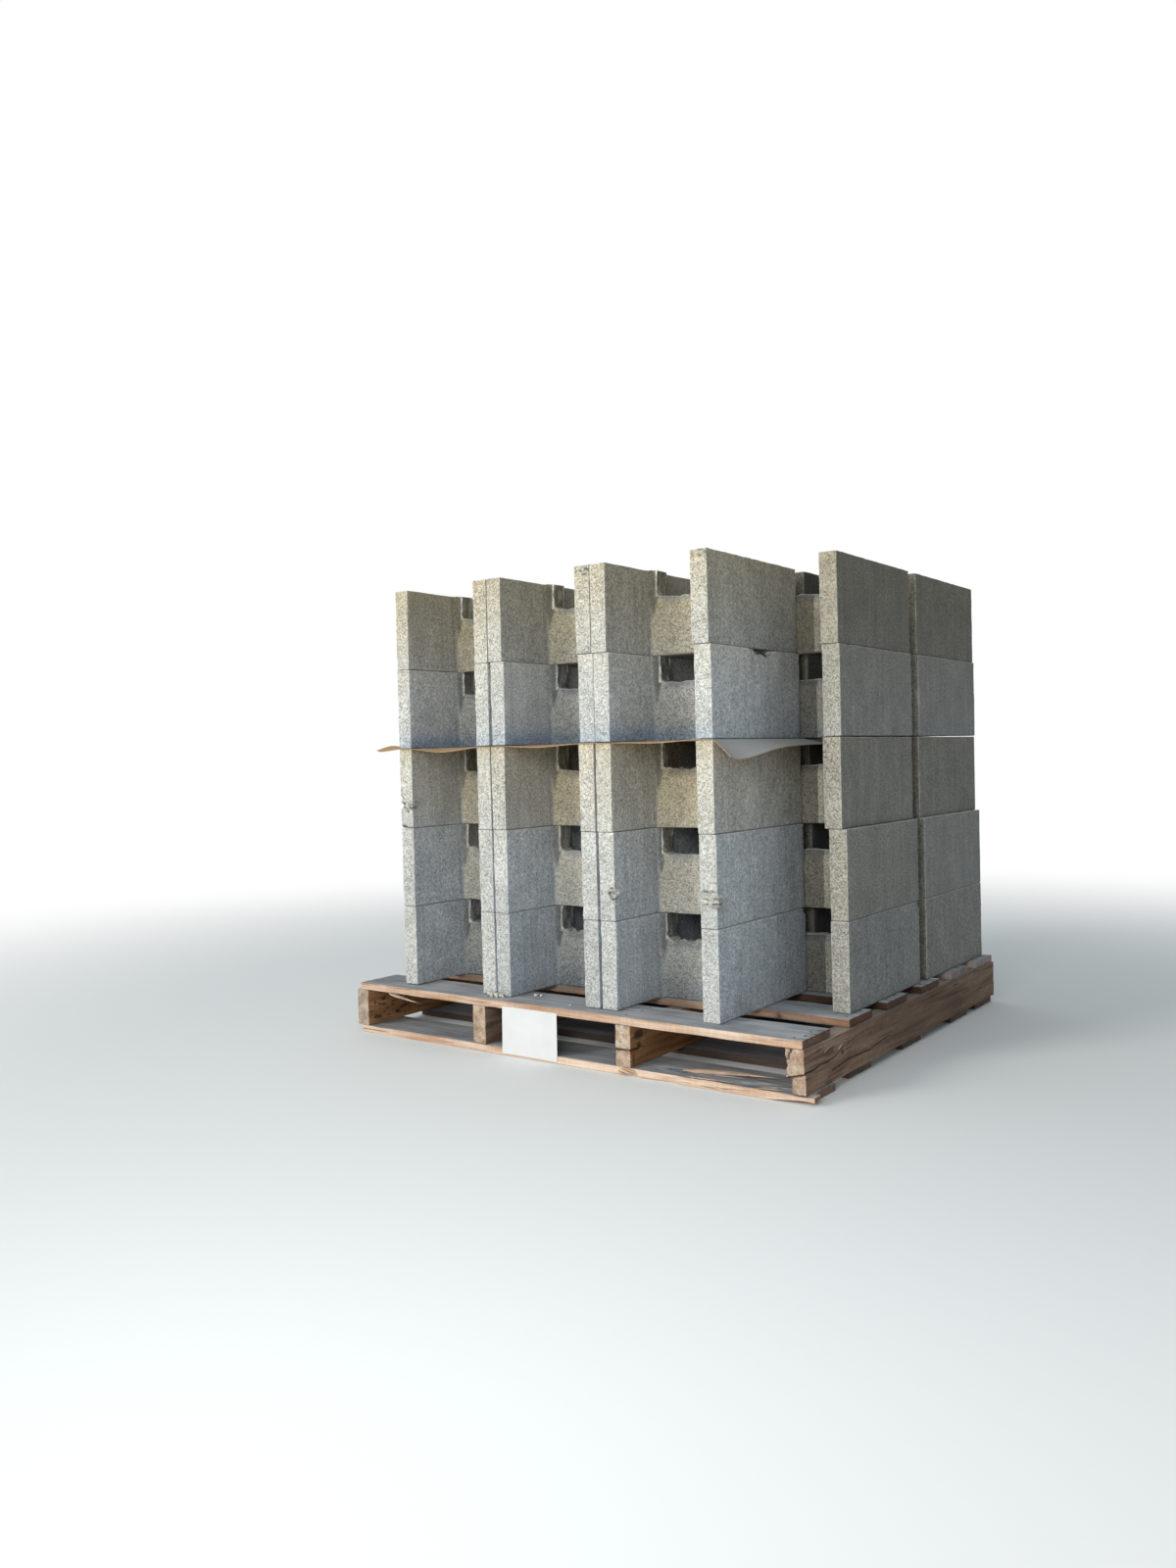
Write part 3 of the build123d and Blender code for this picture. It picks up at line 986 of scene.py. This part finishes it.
def peel_bottom_board(cells, points, marks):
    """The board is torn open along its front in the right bay, and its lower front edge is broken."""
    x, y, z = cells.grid.T
    back = y - y.min()
    bay = ease((x - 235) / 70) * ease((612 - x) / 40)
    torn = noise(cells.grid, (85, 9, 60), 75) * 0.6 + noise(cells.grid, (38, 4.5, 60), 76) * 0.5
    peeled = ease((back - 3) / 6) * ease((46 + 14 * torn - back) / 12) * (5.5 + 3 * torn)
    peeled += ease((95 - back) / 20) * np.maximum(0, torn - 0.15) * 4
    peeled += ease((9 - back) / 6) * np.maximum(0, torn) * 3.5
    front = bay * ease((10 - back) / 8) * (1.2 + 3 * noise(cells.grid, (50, 9, 6), 77))
    points[:, 1] += np.maximum(front, 0)

    # The right end is thin at its front and shorter behind
    thin = np.clip((x - 530) / 107, 0, 1)
    depth = bay * peeled + 3 * thin * ease((26 - back) / 16)
    points[:, 2] -= depth * ease((z - z.min() - 2) / 12)
    points[:, 2] += 11 * thin * ease((34 - back) / 16) * (z < 9)
    points[:, 0] -= 15 * ease((x - 600) / 30) * ease((back - 26) / 12)

    # The lower front edge is broken beside the right middle stringer
    broken = ease(1.5 - np.hypot((x - 214) / 16, (z - 2) / 9)) * ease((12 - back) / 8)
    points[:, 1] += 7 * broken

    # The top is darker, more so in the right bay, with painted shade in the torn hollows, and the tear and
    # the right end show fresh wood
    on_top = (z > z.max() - 0.5) & (back > 8)
    hollow = ease((torn - 0.2) * 3) * ease((95 - back) / 20)
    mark(marks, "stain_and_shade", on_top * (0.2 + 0.15 * bay + 0.25 * bay * hollow))
    mark(marks, "fresh", bay * ease((20 + 16 * torn - back) / 9))
    mark(marks, "fresh", ease((x - 606) / 12) * ease((44 - back) / 10))
    marks["fresh"] *= np.where(on_top, 0.5, 1)


# Slivers of the torn board: start, end, width, thickness, bow and how grey they are
BOTTOM_SPLINTERS = [
    ((316, -515, 17.5), (530, -479, 21), 12, 6.0, 2.0, 0.2),
    ((236, -514, 17.5), (420, -503, 18), 6, 2.0, 1.0, 0.9),
    ((372, -514, 15.5), (478, -499, 17.5), 6, 1.8, 0.8, 0.8),
    ((447, -523, 14), (566, -507, 17), 8, 2.0, 1.4, 0.7),
    ((466, -536, 14), (592, -520, 16.5), 8, 2.0, 1.2, 0.8),
    ((500, -547, 15), (580, -533, 16), 6, 1.6, 0.8, 0.3),
    ((340, -548, 16), (470, -541, 17), 5, 1.6, 0.8, 0.1),
    ((184, -560.5, 15), (228, -562, 3.5), 5, 2.2, 0.6, 0.0),
    ((192, -561, 17), (236, -562, 9), 5, 2.0, 1.0, 0.1),
    ((180, -560.5, 9), (213, -562, 0.9), 4, 1.6, 0.4, 0.0),
]


def mottle_left_stringer(cells, points, marks):
    """Fresh wood on the inner side, with small dark tears near the front."""
    x, y, z = cells.grid.T
    inner = x > x.max() - 0.5
    tears = ease((noise(cells.grid, (60, 15, 4.5), 81) - 0.25) * 4) * ease((y.min() + 260 - y) / 150)
    mark(marks, "stain_and_shade", 0.85 * tears * inner * ease((z - 22) / 12))
    marks["fresh"] = 2.0 * inner


def make_wood():
    # Nail marks near the right end of the front deck board, a broad patch of painted shade at its left end,
    # and a darker strip near its front edge on the left
    marks_and_shade = [((613, y, 124), (14, 7, 7), 0.5) for y in (-539, -516, -495, -479, -462)]
    marks_and_shade += [((-570, -490, 124), (80, 70, 9), 0.4), ((-470, -548, 124), (70, 6, 9), 0.3)]
    make_board("deck_board_1", 21, (0.5, 1.0, 0.0, 0.5, 0.45), (0, 0, 0, 0, 0.9), 10.0, stains_and_shade=marks_and_shade,
               splinters=[((-514, -555, 106), (-398, -557.5, 90.5), 10, 2.6, -1.5, 0.0)])
    make_board("deck_board_2", 22, (0.5, 0.95, 0.1, 0.5, 0.6), (0, 0, 0.45, 0, 1.0), 10.0, 1.6,
               stains_and_shade=[((450, -342.7, 111), (9, 6, 7), 0.9), ((381, -342.7, 108), (12, 6, 4), 0.6),
                       ((540, -342.7, 106), (90, 3, 8), 0.35)])
    for number in (3, 4):
        front = box_mm(f"deck_board_{number}")[0][1]
        make_board(f"deck_board_{number}", 20 + number, (0.7, 1.0, 0.9, 0.9, 1.0), (0, 0, 1.0, 0, 1.0),
                   14.0, 2.2, stains_and_shade=[((540, front, 115), (90, 2, 16), 0.55)])
    make_board("deck_board_5", 25, (0.5, 1.0, 0.6, 0.6, 0.7), (0, 0, 0.3, 0, 0.5), 16.0)
    make_board("deck_board_6", 26, (0.5, 1.0, 0.4, 0.1, 0.6), (0, 0, 0, 0, 0.4), 16.0)
    bay = [(0, 180, 637, 5.0), (1, -559, -470, 4.0), (2, 0, 17.5, 3.0)]
    make_board("bottom_board_1", 41, (0.4, 1.0, 0.1, 0.4, 0.5), (0, 0, 0, 0, 0.8), 10.0, finer=bay,
               change=peel_bottom_board, splinters=BOTTOM_SPLINTERS,
               stains_and_shade=[((462, -497, 14), (68, 7, 12), 0.75), ((545, -503, 14), (40, 9, 12), 0.4)])
    for number in range(2, 6):
        make_board(f"bottom_board_{number}", 40 + number, (0.6, 0.95, 0.9, 0.9, 0.9),
                   (0, 0.4, 0.9, 0.5, 0.9), 16.0)
    aged = (0.4, 0.5, 0.3, 0.25, 0.15)
    near = (1, -559, -400, 3.5)
    make_board("stringer_left", 60, (0.4, 0.5, 0.3, 0.05, 0.4), (0.6, 0.2, 0.3, 0.2, 0.1), 12.0,
               finer=[near, (2, 20, 104, 3.2)], change=mottle_left_stringer)
    make_board("stringer_middle_left", 61, aged, (0.6, 0.3, 0.6, 0.6, 0.1), 12.0)
    make_board("stringer_middle_right", 62, (0.4, 0.5, 0.3, 0.05, 0.15), (0.6, 0.3, 0.6, 0.3, 0.0), 12.0,
               finer=[near, (2, 40, 95, 2.6), (0, 176, 214, 3.5)], change=split_middle_stringer,
               stains_and_shade=[((213.7, -523, 81), (9, 25, 9), 0.85), ((213.7, -524, 61), (9, 8, 5), 0.85),
                       ((213.7, -546, 33), (9, 5, 13), 0.6), ((213.7, -500, 31), (9, 40, 3), 0.45)])
    make_board("stringer_right", 63, aged, (0.6, 0.2, 0.6, 0.6, 0.0), 12.0,
               finer=[(1, -559, -210, 3.2), (2, 17.5, 106.5, 1.8), (0, 580, 618, 2.8)],
               change=split_right_stringer,
               stains_and_shade=[((618, -391, 68), (6, 8, 6), 0.8), ((618, 120, 60), (6, 430, 80), 0.4)],
               splinters=[((618.4, -412, 77), (619.4, -388, 88), 1.6, 4.5, 0.0, 0.1),
                          ((618.2, -478, 84), (618.8, -440, 95), 1.2, 2.2, 0.0, 0.2)])


make_wood()


# Paper sheet: how far its right edge hangs down at each y
HANG = [(-521, 36), (-490, 42), (-456, 41.5), (-429, 38.5), (-393, 31.5), (-350, 23.5), (-290, 17.5),
        (-213, 15), (-123, 13.5), (-60, 10), (0, 9), (120, 14), (250, 9), (318, 0), (362, 0), (420, 6),
        (546, 12)]


def make_sheet():
    low, high = box_mm("interleaf_sheet")
    xs, ys = (lines([low[axis], high[axis]], SHEET_STEP) for axis in (0, 1))
    cells = Cells(xs, ys, np.array([0.0, 1.0]))
    x, y, layer = cells.grid.T
    flat = cells.grid * (1, 1, 0)
    back = y - low[1]
    lefts = block_lefts("blocks_course_3_row_1")

    # Over the open front cells the edge dips
    free_front = ease(1 - back / 70)
    down = free_front * (1.2 * noise(flat, (70, 60, 50), 3) - 1.0)
    for left, dip in zip(lefts, (9.0, 4.5, 3.0)):
        inside = np.clip((x - left - SHELL) / (WIDTH - 2 * SHELL), 0, 1)
        down -= dip * free_front * np.sin(np.pi * inside) ** 1.5

    # Left of the load it droops, with a crest behind its front corner
    over_left = np.clip((lefts[0] - x) / (lefts[0] - low[0]), 0, 1)
    tip = np.interp(over_left, [0, 0.35, 0.8, 1], [0, -2.4, -5, -0.5]) * ease(1 - back / 40)
    crest = ease(over_left * 5) * (2 + 8 * over_left) * ease(1 - np.abs(back - 50) / 60)
    down += tip + crest - 12 * ease(over_left * 2) * ease((back - 110) / 220)

    # Right of the load it hangs in waves, which draw its edge in
    overhang = high[0] - lefts[2] - WIDTH
    reach = np.clip(1 - (high[0] - x) / overhang, 0, 1)
    hang = np.interp(y, *np.transpose(HANG))
    drawn_in = overhang - np.sqrt(np.maximum(overhang**2 - hang**2, 1))
    down -= reach**1.15 * hang

    # It is made a little thinner than in the CAD, so that its faces stay clear of the blocks
    height = low[2] + 0.1 + 0.75 * (high[2] - low[2]) * layer
    points = np.stack([x, y, height + down], axis=1)
    points[:, 0] -= 11 * over_left * ease(1 - back / 90) + drawn_in * reach
    # Painted shade: the top is grey towards the right, and faintly grey elsewhere
    grey_shading = np.where(cells.side == 3, ease((cells.middle[:, 0] - 250) / 150), 0.1)
    corner = {"grey_shading": np.repeat(grey_shading[:, None], 4, axis=1)}
    piece = make_piece("paper_sheet", points, cells.quads, flat * MM, paper, corner, sharp=70)
    stand_for(piece, "interleaf_sheet")


make_sheet()


# Nails: x and y of those in the front deck board, and the rings of a head by radius and height
FRONT_NAILS = [(593, -479), (602, -462), (586, -539), (599, -516), (609, -495), (194, -482),
               (194, -449), (-604, -536), (-580, -508), (-205, -530), (-214, -468), (187, -533)]
NAIL_RINGS = [(0.05, 0.75), (2.6, 0.7), (3.7, 0.35), (3.9, -0.6)]


def make_nails():
    """Rusty heads where the boards cross the stringers, two to a crossing and more at the front right."""
    top = box_mm("deck_board_1")[1][2]
    places = [(x, y, top) for x, y in FRONT_NAILS]
    spread = np.random.default_rng(8)
    names = ("left", "middle_left", "middle_right", "right")
    middles = [sum(box_mm("stringer_" + name))[0] / 2 for name in names]
    for number in range(2, 7):
        low, high = box_mm(f"deck_board_{number}")
        for middle, part in itertools.product(middles, (0.27, 0.73)):
            y = low[1] + (high[1] - low[1]) * part + spread.uniform(-7, 7)
            x = np.clip(middle + spread.uniform(-8, 8), low[0] + 8, high[0] - 8)
            places.append((x, y, high[2]))
    points, quads, sides, sunk = [], [], 12, 0.9
    for x, y, z in places:
        first = len(points)
        lean = spread.uniform(-0.08, 0.08, 2)
        for radius, height in NAIL_RINGS:
            for angle in np.arange(sides) * 2 * math.pi / sides:
                dx, dy = radius * math.cos(angle), radius * math.sin(angle)
                points.append((x + dx, y + dy, z - sunk + height + dx * lean[0] + dy * lean[1]))
        for start in range(first, len(points) - sides, sides):
            for i in range(sides):
                a, b = start + i, start + (i + 1) % sides
                quads.append((b, a, a + sides, b + sides))
    points = np.array(points)
    piece = make_piece("nail_heads", points, np.array(quads), points * MM, steel)
    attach(piece, "root")


make_nails()


# Crumbs of concrete on the front deck board: x, y and size
CRUMBS = [(-199, -527, 15), (-185, -526, 13), (-173, -524, 10), (-191, -535, 7), (-163, -527, 6),
          (-177, -533, 5), (-104, -477, 9), (-92, -474, 7), (30, -524, 5), (96, -470, 4)]


def make_crumbs():
    parts = []
    deck = box_mm("deck_board_1")[1][2]
    axis = np.linspace(-1, 1, 6)
    cells = Cells(axis, axis, axis)
    shape = cells.quads.shape
    ball = cells.grid / np.linalg.norm(cells.grid, axis=1)[:, None]
    for number, (x, y, size) in enumerate(CRUMBS):
        lump = ball * 0.6 + cells.grid * 0.3
        spot = lump * 10 + 50 * number
        lump *= (1 + 0.35 * noise(spot, 7, 91) + 0.15 * noise(spot, 3, 92))[:, None]
        points = lump * size / 2 * (1.2, 0.9, 0.7)
        points += (x, y, deck - points[:, 2].min() - 0.3)
        corner = {"coarse": np.ones(shape), "tone": np.full(shape, 1.2), "warm": np.zeros(shape)}
        parts.append((points, cells.quads, points * MM, corner, {"broken": np.full(len(points), 0.3)}))
    piece = make_joined("concrete_crumbs", parts, concrete)
    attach(piece, "root")


make_crumbs()


# Card
def make_card():
    """A plain card, bent a little and hung a little askew."""
    low, high = box_mm("number_card")
    xs, zs = (lines([low[axis], high[axis]], CARD_STEP) for axis in (0, 2))
    cells = Cells(xs, np.array([0.0, 1.0]), zs)
    points = cells.grid.copy()
    across, layer, up = ((cells.grid - (low[0], 0, low[2])) / (high[0] - low[0], 1, high[2] - low[2])).T
    points[:, 1] = low[1] + 0.15 + layer * 0.45 + 0.15 * noise(cells.grid, 40, 2)
    points[:, 0] += 1.2 * (0.5 - up) * (across - 0.5) - 1.5 * (0.5 - up)
    points[:, 2] += 1.0 * (across - 0.5) * (up - 0.5)
    piece = make_piece("blank_card", points, cells.quads, points * MM, card_white)
    stand_for(piece, "number_card")


make_card()


# Light: a broad soft key from the front left, a weaker lamp from the front and a fill from all round
def lamp(name, place, size, energy, tint):
    data = bpy.data.lights.new(name, "AREA")
    data.shape = "DISK"
    data.size = size
    data.energy = energy
    data.color = tint
    made = add_object(name, data)
    made.location = place
    made.rotation_mode = "QUATERNION"
    made.rotation_quaternion = (Vector((0, 0, 0.5)) - made.location).to_track_quat("-Z", "Y")
    made.visible_camera = False


def make_floor():
    """A plain floor that fades into the white background far from the object."""
    mesh = bpy.data.meshes.new("floor")
    r = 45.0
    mesh.from_pydata([(-r, -r, 0), (r, -r, 0), (r, r, 0), (-r, r, 0)], [], [(0, 1, 2, 3)])
    floor = add_object("floor", mesh)
    s = Nodes(bpy.data.materials.new("floor"))
    surface = s.plug("Principled BSDF", {"Base Color": colour(222, 222, 220), "Roughness": 0.9})
    place = s.node("NewGeometry", {}).outputs["Position"]
    away = s.node("VectorMath", {0: place}, operation="LENGTH").outputs["Value"]
    far = s.remap(away, 1.3, 4.2, interpolation_type="SMOOTHSTEP")
    white = s.node("Emission", {"Color": WHITE, "Strength": 1.0})
    inputs = {0: s.times(far, s.seen_directly()), 1: surface.outputs[0], 2: white.outputs[0]}
    s.plug("Material Output", {"Surface": s.node("MixShader", inputs).outputs[0]})
    mesh.materials.append(s.owner)


def make_world():
    """A fill from all round, weaker from the back right. The camera sees plain white in its place."""
    world = bpy.data.worlds.new("world")
    bpy.context.scene.world = world
    s = Nodes(world)
    inputs = {0: s.node("TexCoord", {}).outputs["Generated"], 1: (0.77, 0.64, 0.0)}
    toward = s.node("VectorMath", inputs, operation="DOT_PRODUCT").outputs["Value"]
    strength = s.remap(toward, -1.0, 1.0, 0.92, 0.34)
    fill = s.plug("Background", {"Color": (0.84, 0.94, 1.0, 1.0), "Strength": strength})
    white = s.node("Background", {"Color": WHITE, "Strength": 1.0})
    inputs = {0: s.seen_directly(), 1: fill.outputs[0], 2: white.outputs[0]}
    s.plug("World Output", {"Surface": s.node("MixShader", inputs).outputs[0]})


def make_stage():
    make_floor()
    lamp("key", (-4.6, -8.8, 4.0), 4.0, 600.0, (1.0, 0.97, 0.92))
    lamp("fill", (0.9, -2.4, 1.1), 0.9, 16.0, (0.95, 0.98, 1.0))
    make_world()


make_stage()
